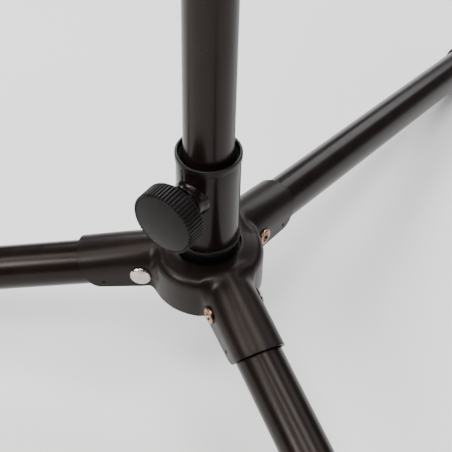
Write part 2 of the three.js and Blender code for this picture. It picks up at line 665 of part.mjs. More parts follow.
// ---------------------------------------------------------------- assembly
function base() {
  const group = new THREE.Group();
  group.position.z = HUB_HEIGHT;
  group.add(
    piece('hub_shell', hubShell(), finish.powder()),
    piece('hub_backing_ring', backingRing(), finish.powder()),
    piece('collar_base_bush', collarBaseBush(), finish.moulded()),
    piece('collar_sleeve', sleeve(COLLAR.seam + GAP, COLLAR.rim - GAP, SCREW_HEIGHT), finish.powder()),
    piece('collar_top_bush', collarTopBush(), finish.moulded()),
    piece('collar_thread_boss', threadBoss().translate([0, 0, SCREW_HEIGHT]), finish.powder()),
    ...thumbScrew('base', MAST_RADIUS, SCREW_HEIGHT, 0),
  );
  for (const [side, azimuth] of Object.entries(LEG_AZIMUTHS)) {
    group.add(
      piece(`leg_tube_${side}`, onLeg(legTube(), azimuth), finish.powder()),
      piece(`leg_foot_${side}`, legFoot(azimuth), finish.rubber()),
      piece(`leg_rivet_${side}`, onLeg(legRivet(), azimuth), finish.nickel()),
    );
  }
  return group;
}

function mast() {
  const group = new THREE.Group();
  group.position.z = HUB_HEIGHT;
  const top = MAST_FOOT + MAST_LENGTH;
  const upperFoot = top - UPPER_INSERTED;
  const clampLow = top + CLAMP.ring + GAP;
  const clampScrew = top + CLAMP.screw;
  const clampSleeve = sleeve(clampLow, top, clampScrew).rotate([0, 0, 180]);
  const clampBoss = threadBoss().rotate([0, 0, 180]).translate([0, 0, clampScrew]);
  group.add(
    piece('mast_lower_tube', mastLower(), finish.powder()),
    piece('mast_foot_plug', mastFootPlug(), finish.moulded()),
    piece('clamp_base_bush', clampBaseBush(top), finish.moulded()),
    piece('clamp_sleeve', clampSleeve, finish.powder()),
    piece('clamp_top_bush', clampTopBush(top), finish.moulded()),
    piece('clamp_thread_boss', clampBoss, finish.powder()),
    ...thumbScrew('clamp', UPPER_RADIUS, clampScrew, 180),
    piece('mast_guide_plug', guidePlug(upperFoot), finish.moulded()),
    piece('mast_upper_tube', mastUpper(upperFoot), finish.powder()),
  );
  return group;
}

function desk() {
  const group = new THREE.Group();
  group.position.z = HUB_HEIGHT + MAST_FOOT + MAST_LENGTH - UPPER_INSERTED + UPPER_LENGTH + HEAD.rise;
  const leaning = new THREE.Group();
  leaning.rotation.x = -TILT_REST;
  const { radius, thickness } = WASHER;
  const inner = HEAD.halfWidth + GAP;
  const outer = BRACKET_EAR + BRACKET.thickness + GAP;
  leaning.add(
    piece('tilt_bolt', tiltBolt(), finish.zinc()),
    piece('tilt_friction_washer_left', washer(-inner - thickness, -inner, radius), finish.nylon()),
    piece('tilt_friction_washer_right', washer(inner, inner + thickness, radius), finish.nylon()),
    piece('desk_bracket', deskBracket(), finish.powder()),
    piece('tilt_washer', washer(outer, outer + CAPTIVE.thickness, CAPTIVE.radius), finish.zinc()),
    piece('tilt_knob', tiltKnob(), finish.moulded()),
    piece('desk_panel', deskPanel(), finish.powder()),
    ...rivetPlaces().map(([x, z], i) => piece(`desk_rivet_${i + 1}`, deskRivet(x, z), finish.powder())),
  );
  const pin = along.y(rod(HEAD_PIN.radius, -HEAD.radius + GAP, HEAD.radius - GAP, 16));
  group.add(
    piece('tilt_head', tiltHead(), finish.moulded()),
    piece('tilt_head_pin', pin.translate([0, 0, -HEAD.rise - HEAD_PIN.drop]), finish.zinc()),
    leaning,
  );
  return group;
}

const stand = new THREE.Group();
stand.add(base(), mast(), desk());

// The origin is on the floor, under the middle of the stand's box.
const box = new THREE.Box3().setFromObject(stand, true);
stand.position.y = -(box.min.y + box.max.y) / 2;

export default stand;
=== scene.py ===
# Music stand, seen close up at its folding base. Metres, +Z up; the player's side is -Y.
# Pieces are built in millimetres about the hub, where the leg axes cross the mast axis.
import json
import math

import bmesh
import bpy
from mathutils import Matrix, Vector

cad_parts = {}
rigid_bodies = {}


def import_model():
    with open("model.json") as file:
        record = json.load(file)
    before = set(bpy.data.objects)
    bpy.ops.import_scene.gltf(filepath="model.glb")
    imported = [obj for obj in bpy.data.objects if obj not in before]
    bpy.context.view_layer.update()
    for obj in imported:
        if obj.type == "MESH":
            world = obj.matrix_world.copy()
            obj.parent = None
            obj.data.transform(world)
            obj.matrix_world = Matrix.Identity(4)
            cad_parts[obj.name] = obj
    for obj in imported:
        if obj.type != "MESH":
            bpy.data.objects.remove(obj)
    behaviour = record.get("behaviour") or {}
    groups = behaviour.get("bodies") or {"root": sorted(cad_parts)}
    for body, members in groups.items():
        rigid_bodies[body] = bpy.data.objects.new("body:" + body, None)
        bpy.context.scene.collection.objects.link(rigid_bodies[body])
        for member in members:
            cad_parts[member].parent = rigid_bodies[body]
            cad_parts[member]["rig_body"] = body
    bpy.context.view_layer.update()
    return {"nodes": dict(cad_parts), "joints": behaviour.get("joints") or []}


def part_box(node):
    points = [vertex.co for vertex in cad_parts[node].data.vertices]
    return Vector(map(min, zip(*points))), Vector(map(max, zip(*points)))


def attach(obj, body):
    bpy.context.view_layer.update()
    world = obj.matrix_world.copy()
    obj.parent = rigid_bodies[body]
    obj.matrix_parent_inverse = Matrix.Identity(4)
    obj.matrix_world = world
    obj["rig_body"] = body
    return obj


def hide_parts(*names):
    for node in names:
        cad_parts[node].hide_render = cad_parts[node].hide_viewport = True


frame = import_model()

MM = 0.001
JOINTS = {joint["name"]: joint for joint in frame["joints"]}

# ---------------------------------------------------------------- places, from the frame
PIVOT = {side: Vector(JOINTS[f"leg_fold_{side}"]["pos_m"]) / MM for side in ("rear", "left", "right")}
LEG_AZIMUTH = {"rear": 90, "left": 210, "right": 330}
LEG_TILT = math.radians(12.5)
PIVOT_REACH = 34.5
MAST_Y = JOINTS["mast_swivel"]["pos_m"][1] / MM
HUB = Vector((0, MAST_Y, PIVOT["rear"].z + PIVOT_REACH * math.sin(LEG_TILT)))
CLAMP_SCREW_Z = JOINTS["clamp_knob_turn"]["pos_m"][2] / MM - HUB.z
BASE_SCREW_Z = JOINTS["base_knob_turn"]["pos_m"][2] / MM - HUB.z
TILT_Z = JOINTS["desk_tilt"]["pos_m"][2] / MM - HUB.z
TILT_REST = math.radians(25)


def low_z(node):
    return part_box(node)[0].z / MM - HUB.z


def high_z(node):
    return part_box(node)[1].z / MM - HUB.z


# ---------------------------------------------------------------- materials
def new_material(name, colour, roughness, metallic=0.0, specular=0.5, gloss_tint=(1, 1, 1)):
    material = bpy.data.materials.new(name)
    material.use_nodes = True
    shader = material.node_tree.nodes["Principled BSDF"]
    shader.inputs["Base Color"].default_value = (*colour, 1)
    shader.inputs["Roughness"].default_value = roughness
    shader.inputs["Metallic"].default_value = metallic
    shader.inputs["Specular IOR Level"].default_value = specular
    shader.inputs["Specular Tint"].default_value = (*gloss_tint, 1)
    return material, material.node_tree, shader


def noise(tree, scale, detail=4.0, stretch=(1, 1, 1), roughness=0.5):
    coordinates = tree.nodes.new("ShaderNodeTexCoord")
    mapping = tree.nodes.new("ShaderNodeMapping")
    mapping.inputs["Scale"].default_value = stretch
    texture = tree.nodes.new("ShaderNodeTexNoise")
    texture.inputs["Scale"].default_value = scale
    texture.inputs["Detail"].default_value = detail
    texture.inputs["Roughness"].default_value = roughness
    tree.links.new(coordinates.outputs["Object"], mapping.inputs["Vector"])
    tree.links.new(mapping.outputs["Vector"], texture.inputs["Vector"])
    return texture.outputs["Fac"]


def spread(tree, source, low, high, from_low=0.3, from_high=0.7):
    span = tree.nodes.new("ShaderNodeMapRange")
    span.inputs["From Min"].default_value = from_low
    span.inputs["From Max"].default_value = from_high
    span.inputs["To Min"].default_value = low
    span.inputs["To Max"].default_value = high
    tree.links.new(source, span.inputs["Value"])
    return span.outputs["Result"]


def vary_colour(tree, shader, source, dark, light):
    ramp = tree.nodes.new("ShaderNodeValToRGB")
    ramp.color_ramp.elements[0].position = 0.35
    ramp.color_ramp.elements[0].color = (*dark, 1)
    ramp.color_ramp.elements[1].position = 0.65
    ramp.color_ramp.elements[1].color = (*light, 1)
    tree.links.new(source, ramp.inputs["Fac"])
    tree.links.new(ramp.outputs["Color"], shader.inputs["Base Color"])


def bump(tree, shader, source, strength, depth_mm):
    node = tree.nodes.new("ShaderNodeBump")
    node.inputs["Strength"].default_value = strength
    node.inputs["Distance"].default_value = depth_mm * MM
    tree.links.new(source, node.inputs["Height"])
    tree.links.new(node.outputs["Normal"], shader.inputs["Normal"])


def powder_coat(name="powder_coat", roughness=0.32):
    """Satin black powder coat: a fine orange peel, clouded colour and a slightly uneven gloss."""
    material, tree, shader = new_material(
        name, (0.0065, 0.0042, 0.0036), roughness, specular=0.18, gloss_tint=(1.0, 0.87, 0.83))
    vary_colour(tree, shader, noise(tree, 60, 3), (0.0055, 0.0034, 0.0029), (0.0078, 0.0052, 0.0045))
    gloss = spread(tree, noise(tree, 220, 5), roughness - 0.015, roughness + 0.02)
    tree.links.new(gloss, shader.inputs["Roughness"])
    bump(tree, shader, noise(tree, 1300, 2), 0.012, 0.03)
    return material


def moulded(name, roughness=0.42, grain=0.15, specular=0.2):
    """Black moulded nylon: a fine spark-eroded grain."""
    material, tree, shader = new_material(
        name, (0.006, 0.0053, 0.0052), roughness, specular=specular, gloss_tint=(1.0, 0.93, 0.90))
    vary_colour(tree, shader, noise(tree, 90, 3), (0.0045, 0.0039, 0.0038), (0.0072, 0.0063, 0.0062))
    gloss = spread(tree, noise(tree, 400, 4), roughness - 0.05, roughness + 0.07)
    tree.links.new(gloss, shader.inputs["Roughness"])
    bump(tree, shader, noise(tree, 4200, 3), grain, 0.03)
    return material


def rubber():
    material, tree, shader = new_material("rubber", (0.012, 0.0115, 0.011), 0.72, specular=0.35)
    vary_colour(tree, shader, noise(tree, 45, 5), (0.009, 0.009, 0.009), (0.019, 0.018, 0.017))
    tree.links.new(spread(tree, noise(tree, 150, 5), 0.62, 0.85), shader.inputs["Roughness"])
    bump(tree, shader, noise(tree, 1800, 4), 0.3, 0.06)
    return material


def plated(name, colour, tint, roughness, brushed=(1, 1, 1)):
    """Plated steel: clouded colour, fine scratches and a tarnish that dulls it in patches."""
    material, tree, shader = new_material(name, colour, roughness, metallic=1.0)
    vary_colour(tree, shader, noise(tree, 420, 6, roughness=0.65), tint, colour)
    gloss = spread(tree, noise(tree, 900, 5), roughness - 0.10, roughness + 0.14)
    tree.links.new(gloss, shader.inputs["Roughness"])
    bump(tree, shader, noise(tree, 3000, 3, stretch=brushed), 0.35, 0.03)
    return material


def nylon():
    material, tree, shader = new_material("nylon", (0.68, 0.66, 0.6), 0.45)
    vary_colour(tree, shader, noise(tree, 120, 4), (0.6, 0.58, 0.52), (0.72, 0.7, 0.65))
    bump(tree, shader, noise(tree, 1500, 3), 0.1, 0.03)
    return material


POWDER = powder_coat()
TUBE = powder_coat("tube_coat", 0.25)
COLLAR = powder_coat("collar_coat", 0.19)
HIDDEN_COAT = powder_coat("hidden_coat", 0.65)
BUSH = moulded("bush_nylon", 0.32)
KNOB = moulded("knob_nylon", 0.38, 0.25, specular=0.12)
CASTING = moulded("head_casting", 0.5, 0.4)
RUBBER = rubber()
NICKEL = plated("rivet_nickel", (0.58, 0.52, 0.49), (0.44, 0.38, 0.35), 0.28)
COPPER = plated("rivet_copper", (0.42, 0.26, 0.18), (0.22, 0.12, 0.08), 0.27)
ZINC = plated("zinc", (0.62, 0.63, 0.64), (0.48, 0.49, 0.50), 0.26)
BRASS = plated("brass", (0.62, 0.45, 0.20), (0.48, 0.34, 0.14), 0.28)
NYLON = nylon()


# ---------------------------------------------------------------- mesh helpers
WELD = 1e-6  # metres


def smooth(t):
    t = min(max(t, 0.0), 1.0)
    return t * t * (3 - 2 * t)


def mix(a, b, t):
    return a + (b - a) * t


def new_mesh(name, vertices, faces, place):
    """A welded mesh with its normals out. Vertices are in millimetres about the hub, before place."""
    matrix = Matrix.Translation(HUB) @ place
    mesh = bpy.data.meshes.new(name)
    mesh.from_pydata([(matrix @ Vector(v)) * MM for v in vertices], [], faces)
    mesh.validate()
    work = bmesh.new()
    work.from_mesh(mesh)
    bmesh.ops.remove_doubles(work, verts=work.verts, dist=WELD)
    bmesh.ops.recalc_face_normals(work, faces=work.faces)
    work.to_mesh(mesh)
    work.free()
    return mesh


def piece(name, vertices, faces, material, body, node, slot, place=None, sharp=40):
    """A new piece that stands for a CAD node."""
    mesh = new_mesh(name, vertices, faces, place or Matrix())
    return finished(name, mesh, material, body, node, sharp)


def finished(name, mesh, material, body, node, sharp):
    """Puts a mesh in the scene, shaded smooth up to the sharp angle, on its body, and hides its CAD node."""
    mesh.materials.clear()
    mesh.materials.append(material)
    mesh.polygons.foreach_set("use_smooth", [True] * len(mesh.polygons))
    mesh.set_sharp_from_angle(angle=math.radians(sharp))
    obj = bpy.data.objects.new(name, mesh)
    bpy.context.scene.collection.objects.link(obj)
    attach(obj, body)
    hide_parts(node)
    return obj


def rounded(profile, steps=5):
    """A profile of (r, z) or (r, z, radius) points, with an arc at each corner that has a radius."""
    points = []
    count = len(profile)
    for i, corner in enumerate(profile):
        here = Vector(corner[:2])
        radius = corner[2] if len(corner) > 2 else 0
        if not radius:
            points.append(tuple(here))
            continue
        before = (Vector(profile[i - 1][:2]) - here).normalized()
        after = (Vector(profile[(i + 1) % count][:2]) - here).normalized()
        half = before.angle(after) / 2
        reach = radius / math.tan(half)
        centre = here + (before + after).normalized() * (radius / math.sin(half))
        first, last = here + before * reach, here + after * reach
        turn = (first - centre).angle_signed(last - centre)
        for k in range(steps + 1):
            arm = (first - centre).copy()
            arm.rotate(Matrix.Rotation(-turn * k / steps, 2))
            points.append(tuple(centre + arm))
    return points


def lathe(profile, sides=96, shape=None):
    """Closed turned mesh about +Z. shape(r, z, angle) may move a point in or out, such as for ribs."""
    open_ended = abs(profile[0][0]) < 1e-9 and abs(profile[-1][0]) < 1e-9
    vertices, faces, rows = [], [], []
    for r, z in profile:
        if abs(r) < 1e-9:
            rows.append([len(vertices)] * sides)
            vertices.append((0, 0, z))
            continue
        rows.append(list(range(len(vertices), len(vertices) + sides)))
        for i in range(sides):
            angle = 2 * math.pi * i / sides
            reach = shape(r, z, angle) if shape else r
            vertices.append((reach * math.cos(angle), reach * math.sin(angle), z))
    pairs = list(zip(rows, rows[1:]))
    if not open_ended:
        pairs.append((rows[-1], rows[0]))
    for low, high in pairs:
        for i in range(sides):
            k = (i + 1) % sides
            loop = [low[i], low[k], high[k], high[i]]
            face = [v for j, v in enumerate(loop) if v != loop[j - 1]]
            if len(face) > 2:
                faces.append(face)
    return vertices, faces


def ring(inner, outer, low, high, edge=0.3, sides=96, step=8.0):
    """A tube with rounded ends, and stations along its walls so that a cut only shades its own length."""
    count = max(int((high - low) / step), 2)
    levels = [mix(low, high, k / count) for k in range(1, count)]
    corners = [(inner, low, edge), (outer, low, edge), *((outer, z) for z in levels),
               (outer, high, edge), (inner, high, edge), *((inner, z) for z in reversed(levels))]
    return lathe(rounded(corners), sides)


def along_x():
    return Matrix.Rotation(math.pi / 2, 4, "Y")


def along_front():
    """The piece's +Z comes to -Y."""
    return Matrix.Rotation(math.pi / 2, 4, "X")


def up(z):
    return Matrix.Translation((0, 0, z))


def spin(degrees):
    return Matrix.Rotation(math.radians(degrees), 4, "Z")


def on_leg(side):
    """Legs are made lying along +X from the mast axis."""
    return spin(LEG_AZIMUTH[side]) @ Matrix.Rotation(LEG_TILT, 4, "Y")


def at_pivot(side):
    return on_leg(side) @ Matrix.Translation((PIVOT_REACH, 0, 0))


def leaning():
    """The desk's own frame, about the tilt bolt."""
    return up(TILT_Z) @ Matrix.Rotation(-TILT_REST, 4, "X")


def cut(obj, cutters, sharp=25):
    """Subtracts closed meshes, given as (vertices, faces, place), from a piece."""
    helpers = []
    for cutter in cutters:
        helper = bpy.data.objects.new("cutter", new_mesh("cutter", *cutter))
        bpy.context.scene.collection.objects.link(helper)
        helpers.append(helper)
        modifier = obj.modifiers.new("cut", "BOOLEAN")
        modifier.operation = "DIFFERENCE"
        modifier.solver = "EXACT"
        modifier.object = helper
    bpy.context.view_layer.update()
    result = bpy.data.meshes.new_from_object(obj.evaluated_get(bpy.context.evaluated_depsgraph_get()))
    obj.modifiers.clear()
    result.polygons.foreach_set("use_smooth", [True] * len(result.polygons))
    result.set_sharp_from_angle(angle=math.radians(sharp))
    obj.data = result
    for helper in helpers:
        bpy.data.objects.remove(helper)


def soften(obj, width, angle, harden=False):
    """Rounds a piece's sharp edges."""
    modifier = obj.modifiers.new("edges", "BEVEL")
    modifier.width = width * MM
    modifier.segments = 3
    modifier.limit_method = "ANGLE"
    modifier.angle_limit = math.radians(angle)
    modifier.harden_normals = harden


def refined(node, material, bevel=0.4):
    """A copy of a CAD node with its flats merged and its edges rounded."""
    mesh = frame["nodes"][node].data.copy()
    work = bmesh.new()
    work.from_mesh(mesh)
    bmesh.ops.remove_doubles(work, verts=work.verts, dist=WELD)
    bmesh.ops.dissolve_limit(work, angle_limit=math.radians(1), verts=work.verts, edges=work.edges)
    work.to_mesh(mesh)
    work.free()
    obj = finished(f"fine_{node}", mesh, material, frame["nodes"][node]["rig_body"], node, 30)
    soften(obj, bevel, 35, harden=True)


# ---------------------------------------------------------------- hub pressing
ARM_HALF_WIDTH = 13.6
ARM_ROOF_RAISE = {"hub": 1.7, "end": 0.2}
ARM_SKIRT = {"hub": 7.8, "end": 6.0}
ARM_TAPER = {"from": 34.0, "to": 62.0}
ARM_SQUARE = {"from": 33.0, "over": 12.0}
ARM_END = 64.0
ARM_SLANT = 0.28
ARM_SLANT_FROM = 45.0
ARM_CORNER = 4.5
SHEET = 1.3
DRUM_RADIUS = 29.6
DRUM_SHOULDER = 6.0
DRUM_TOP = 7.4
DRUM_SKIRT = 17.0
DRUM_BLEND = math.radians(40)
FILLET = 6.0
HUB_HOLE = 17.8
HOLE_TOP = 9.0
HOLE_LAND = 8.0
HUB_EDGE = 0.42
DIMPLE = {"reach": 55.5, "drop": 2.7, "radius": 1.3, "out": 0.6}
RIVET_HOLE = 2.7
FILLET_CENTRE = Vector((
    math.sqrt((DRUM_RADIUS + FILLET) ** 2 - (ARM_HALF_WIDTH + FILLET) ** 2),
    ARM_HALF_WIDTH + FILLET,
))
FILLET_AZIMUTH = math.atan2(FILLET_CENTRE.y, FILLET_CENTRE.x)


def fan_start(ray):
    """A line of the fan ends on the arm's ridge or, further round, on the hub hole's edge."""
    ridge = FILLET_CENTRE.x - FILLET_CENTRE.y / ray.y * ray.x
    if ridge >= HUB_HOLE - 1e-6:
        return Vector((ridge, 0))
    across = FILLET_CENTRE.dot(ray)
    distance = -across - math.sqrt(across ** 2 - FILLET_CENTRE.length_squared + HUB_HOLE ** 2)
    return FILLET_CENTRE + distance * ray


def hub_stations(inset):
    """Stations round one sixth of the hub: along an arm, round the fillet, then along the drum.

    Each is the wall's point, the roof's start, 0 on the arm to 1 on the drum, and the reach along the leg.
    """
    stations = []
    corner = [ARM_END - ARM_CORNER * t for t in (0, 0.04, 0.12, 0.24, 0.4, 0.6, 0.8, 1)]
    arm = [mix(ARM_END - ARM_CORNER, FILLET_CENTRE.x / math.cos(LEG_TILT), k / 20) for k in range(1, 20)]
    for s in corner + arm:
        x = s * math.cos(LEG_TILT)
        stations.append((Vector((x, ARM_HALF_WIDTH - inset)), Vector((x, 0)), 0.0, s))
    first, last = -math.pi / 2, FILLET_AZIMUTH - math.pi
    hole = -math.atan2(FILLET_CENTRE.y, HUB_HOLE - FILLET_CENTRE.x)
    angles = [mix(first, hole, k / 10) for k in range(10)] + [mix(hole, last, k / 14) for k in range(15)]
    for angle in angles:
        ray = Vector((math.cos(angle), math.sin(angle)))
        wall = FILLET_CENTRE + (FILLET + inset) * ray
        stations.append((wall, fan_start(ray), smooth((angle - first) / (last - first)), 0.0))
    for k in range(1, 13):
        azimuth = mix(FILLET_AZIMUTH, math.pi / 3, k / 12)
        ray = Vector((math.cos(azimuth), math.sin(azimuth)))
        stations.append((ray * (DRUM_RADIUS - inset), ray * HUB_HOLE, 1.0, 0.0))
    return stations


def taper(x):
    share = (x / math.cos(LEG_TILT) - ARM_TAPER["from"]) / (ARM_TAPER["to"] - ARM_TAPER["from"])
    return min(max(share, 0), 1)


def roof_height(x, y, inset):
    rise = mix(ARM_ROOF_RAISE["hub"], ARM_ROOF_RAISE["end"], taper(x))
    ridge = (ARM_HALF_WIDTH + rise - inset) / math.cos(LEG_TILT) - x * math.tan(LEG_TILT)
    azimuth = abs(math.atan2(y, x))
    roof = mix(ridge, DRUM_TOP - inset, smooth(azimuth / DRUM_BLEND))
    return mix(HOLE_TOP - inset, roof, smooth((math.hypot(x, y) - HUB_HOLE) / HOLE_LAND))


def roof_points(wall, start, to_drum, inset):
    """From the start across the roof, then down round the shoulder."""
    length = (wall - start).length
    shoulder = min(mix(ARM_HALF_WIDTH - inset, DRUM_SHOULDER - inset, to_drum), length)
    stretch = mix(1 / math.cos(LEG_TILT), 1, to_drum)
    steps = [(mix(length, shoulder, k / 8), 0) for k in range(8)]
    for k in range(17):
        angle = k / 16 * math.pi / 2
        steps.append((shoulder * (1 - math.sin(angle)), shoulder * stretch * (1 - math.cos(angle))))
    points = []
    for from_wall, drop in steps:
        at = wall.lerp(start, from_wall / length)
        points.append(Vector((at.x, at.y, roof_height(at.x, at.y, inset) - drop)))
    return points


def wall_points(top, to_drum, reach):
    """Down the wall to the skirt, which is rounded up at the arm's end."""
    past = max(reach - (ARM_END - ARM_CORNER), 0)
    lift = ARM_CORNER - math.sqrt(max(ARM_CORNER ** 2 - past ** 2, 0))
    skirt = mix(ARM_SKIRT["hub"], ARM_SKIRT["end"], taper(top.x))
    arm_low = -top.x * math.tan(LEG_TILT) - (skirt - lift) / math.cos(LEG_TILT)
    low = mix(arm_low, -DRUM_SKIRT, to_drum)
    return [Vector((top.x, top.y, mix(top.z, low, k / 6))) for k in range(1, 7)]


def square_to_leg(points, reach):
    """Swings a section of the arm square to the leg, and slants it near the arm's end."""
    swing = smooth((reach - ARM_SQUARE["from"]) / ARM_SQUARE["over"])
    slant = ARM_SLANT * smooth((reach - ARM_SLANT_FROM) / (ARM_END - ARM_SLANT_FROM))
    for p in points:
        height = p.z * math.cos(LEG_TILT) + p.x * math.sin(LEG_TILT)
        slide = swing * (reach - p.x * math.cos(LEG_TILT) + p.z * math.sin(LEG_TILT))
        slide += slant * height
        p.x += slide * math.cos(LEG_TILT)
        p.z -= slide * math.sin(LEG_TILT)


def hub_section(station, inset):
    """One section of the pressing: across the roof, down round the shoulder, down the wall."""
    wall, start, to_drum, reach = station
    points = roof_points(wall, start, to_drum, inset)
    points += wall_points(points[-1], to_drum, reach)
    if reach:
        square_to_leg(points, reach)
    return points


def hub_sixth():
    """Points and faces of one sixth of the pressing: both skins, and the edges that join them."""
    outer, inner = ([hub_section(s, inset) for s in hub_stations(inset)] for inset in (0.0, SHEET))
    rows, columns = len(outer), len(outer[0])
    points = [p for grid in (outer, inner) for section in grid for p in section]

    def index(layer, i, j):
        return (layer * rows + i) * columns + j

    quads = []
    for i in range(rows - 1):
        for j in range(columns - 1):
            for layer in (0, 1):
                quads.append([index(layer, i, j), index(layer, i, j + 1),
                              index(layer, i + 1, j + 1), index(layer, i + 1, j)])
        last = columns - 1
        quads.append([index(0, i, last), index(1, i, last), index(1, i + 1, last), index(0, i + 1, last)])
        if all(outer[k][0].xy.length < HUB_HOLE + 1e-4 for k in (i, i + 1)):
            quads.append([index(0, i, 0), index(0, i + 1, 0), index(1, i + 1, 0), index(1, i, 0)])
    for j in range(columns - 1):
        quads.append([index(0, 0, j), index(1, 0, j), index(1, 0, j + 1), index(0, 0, j + 1)])
    return points, quads


def hub_shell():
    sixth, quads = hub_sixth()
    vertices, faces = [], []
    for sector in range(3):
        turn = spin(90 + 120 * sector)
        for side in (1, -1):
            offset = len(vertices)
            vertices += [turn @ Vector((p.x, side * p.y, p.z)) for p in sixth]
            faces += [[offset + v for v in quad] for quad in quads]
    obj = piece("hub_pressing", vertices, faces, POWDER, "base", "hub_shell", "powder_coat", sharp=50)
    cutters = []
    for side in LEG_AZIMUTH:
        cutters.append((*rivet_hole(), at_pivot(side) @ along_front()))
        for face in (-1, 1):
            at = (DIMPLE["reach"], face * (ARM_HALF_WIDTH + DIMPLE["out"]), -DIMPLE["drop"])
            cutters.append((*ball(DIMPLE["radius"]), on_leg(side) @ Matrix.Translation(at)))
    cut(obj, cutters)
    soften(obj, HUB_EDGE, 55)


def rivet_hole():
    return lathe([(0, -20), (RIVET_HOLE, -20), (RIVET_HOLE, 20), (0, 20)], 40)


def ball(radius, sides=24):
    arc = [(radius * math.sin(math.pi * k / 14), -radius * math.cos(math.pi * k / 14)) for k in range(15)]
    arc[0], arc[-1] = (0, -radius), (0, radius)
    return lathe(arc, sides)


# ---------------------------------------------------------------- legs
LEG_RADIUS = 12.0
LEG_WALL = 1.2
LEG_START = 18.5
LEG_END = 359.5
FOOT_START, FOOT_END, FOOT_RADIUS = 338.0, 364.6, 13.85
FOOT_GROOVES = {"count": 3, "first": 349.6, "pitch": 4.0, "depth": 0.6}


def leg(side):
    """Tube with its inner end cut back above the rivet, so that it can fold under the hub's roof."""
    body, place = f"leg_{side}", on_leg(side)
    tube = piece(
        f"leg_{side}_tube", *ring(LEG_RADIUS - LEG_WALL, LEG_RADIUS, LEG_START, LEG_END), TUBE,
        body, f"leg_tube_{side}", "powder_coat", place @ along_x(),
    )
    relief = prism([(-30, 14), (-3.4, 14), (-3.4, -0.5), (-11, -13), (-30, -13)], 15)
    cut(tube, [(*relief, at_pivot(side)), (*rivet_hole(), at_pivot(side) @ along_front())])
    foot(side, body, place)
    rivet(side)


def prism(outline, half):
    """A closed prism of an (x, z) outline, from y = -half to half."""
    count = len(outline)
    vertices = [(x, -half, z) for x, z in outline] + [(x, half, z) for x, z in outline]
    faces = [list(range(count)), list(range(2 * count - 1, count - 1, -1))]
    faces += [[i, (i + 1) % count, count + (i + 1) % count, count + i] for i in range(count)]
    return vertices, faces


def foot(side, body, place):
    """Moulded cap with grip grooves and a flat where it meets the floor."""
    grooves = []
    bottom = FOOT_RADIUS - FOOT_GROOVES["depth"]
    for k in range(FOOT_GROOVES["count"]):
        at = FOOT_GROOVES["first"] + FOOT_GROOVES["pitch"] * k
        grooves += [(FOOT_RADIUS, at - 0.7), (bottom, at - 0.4, 0.1), (bottom, at + 0.4, 0.1),
                    (FOOT_RADIUS, at + 0.7)]
    profile = [
        (LEG_RADIUS + 0.1, FOOT_START, 0.3), (FOOT_RADIUS - 0.7, FOOT_START, 0.5),
        (FOOT_RADIUS, FOOT_START + 3, 2), *grooves, (FOOT_RADIUS, FOOT_END, 2.2), (0, FOOT_END),
        (0, LEG_END + 0.2), (LEG_RADIUS + 0.1, LEG_END + 0.2),
    ]
    cap = piece(f"leg_{side}_foot", *lathe(rounded(profile)), RUBBER, body, f"leg_foot_{side}",
                "rubber_black", place @ along_x())
    flat = bmesh.new()
    flat.from_mesh(cap.data)
    result = bmesh.ops.bisect_plane(flat, geom=flat.verts[:] + flat.edges[:] + flat.faces[:],
                                    plane_co=(0, 0, 0), plane_no=(0, 0, -1), clear_outer=True)
    edges = [e for e in result["geom_cut"] if isinstance(e, bmesh.types.BMEdge)]
    bmesh.ops.contextual_create(flat, geom=edges)
    bmesh.ops.recalc_face_normals(flat, faces=flat.faces)
    flat.to_mesh(cap.data)
    flat.free()


def rivet(side):
    """Semi-tubular rivet: a low domed head on one wall, a rolled hollow end on the other."""
    face = ARM_HALF_WIDTH + 0.02
    head = [
        (0, face + 1.9), (3.2, face + 1.75, 2.0), (5.2, face + 1.0, 1.0), (5.8, face + 0.25, 0.25),
        (5.6, face, 0.1), (2.5, face, 0.05),
    ]
    roll = [
        (2.5, -face), (4.7, -face, 0.1), (4.75, -face - 1.0, 0.5), (3.9, -face - 1.55, 0.5),
        (2.6, -face - 1.5, 0.4), (1.9, -face - 0.4, 0.4), (1.8, -face + 3), (0, -face + 3.8),
    ]
    profile = rounded(head, 6)[:-1] + rounded(roll, 6)
    place = at_pivot(side) @ along_front() @ Matrix.Rotation(math.pi, 4, "X")
    obj = piece(f"leg_{side}_rivet", *lathe(profile, 48), NICKEL, "base", f"leg_rivet_{side}",
                "nickel_rivet", place, sharp=60)
    obj.data.materials.append(COPPER)
    inverse = (Matrix.Translation(HUB) @ place).inverted()
    for polygon in obj.data.polygons:
        if (inverse @ (polygon.center / MM)).z < 0:
            polygon.material_index = 1


# ---------------------------------------------------------------- collar
SLEEVE_RADIUS = 16.0
SLEEVE_BORE = 14.5
MAST_BORE = 12.8
RING_RADIUS = 16.8
RIM_RADIUS = 16.5
BOSS_RADIUS = 9.2
BOSS_FACE = 19.5
SCREW_RADIUS = 4.0
SCREW_HOLE = 4.2
SCREW_WAY = {"radius": 4.6, "from": 5, "to": 25}
SPIGOT_RADIUS = 14.2
NECK_RADIUS = 15.7
RING_RISE = 22.3
BUSH_OVERLAP = 0.3
WELD_RING = {"inner": 15.9, "outer": 19.8, "low": 2.6, "high": 5.6}


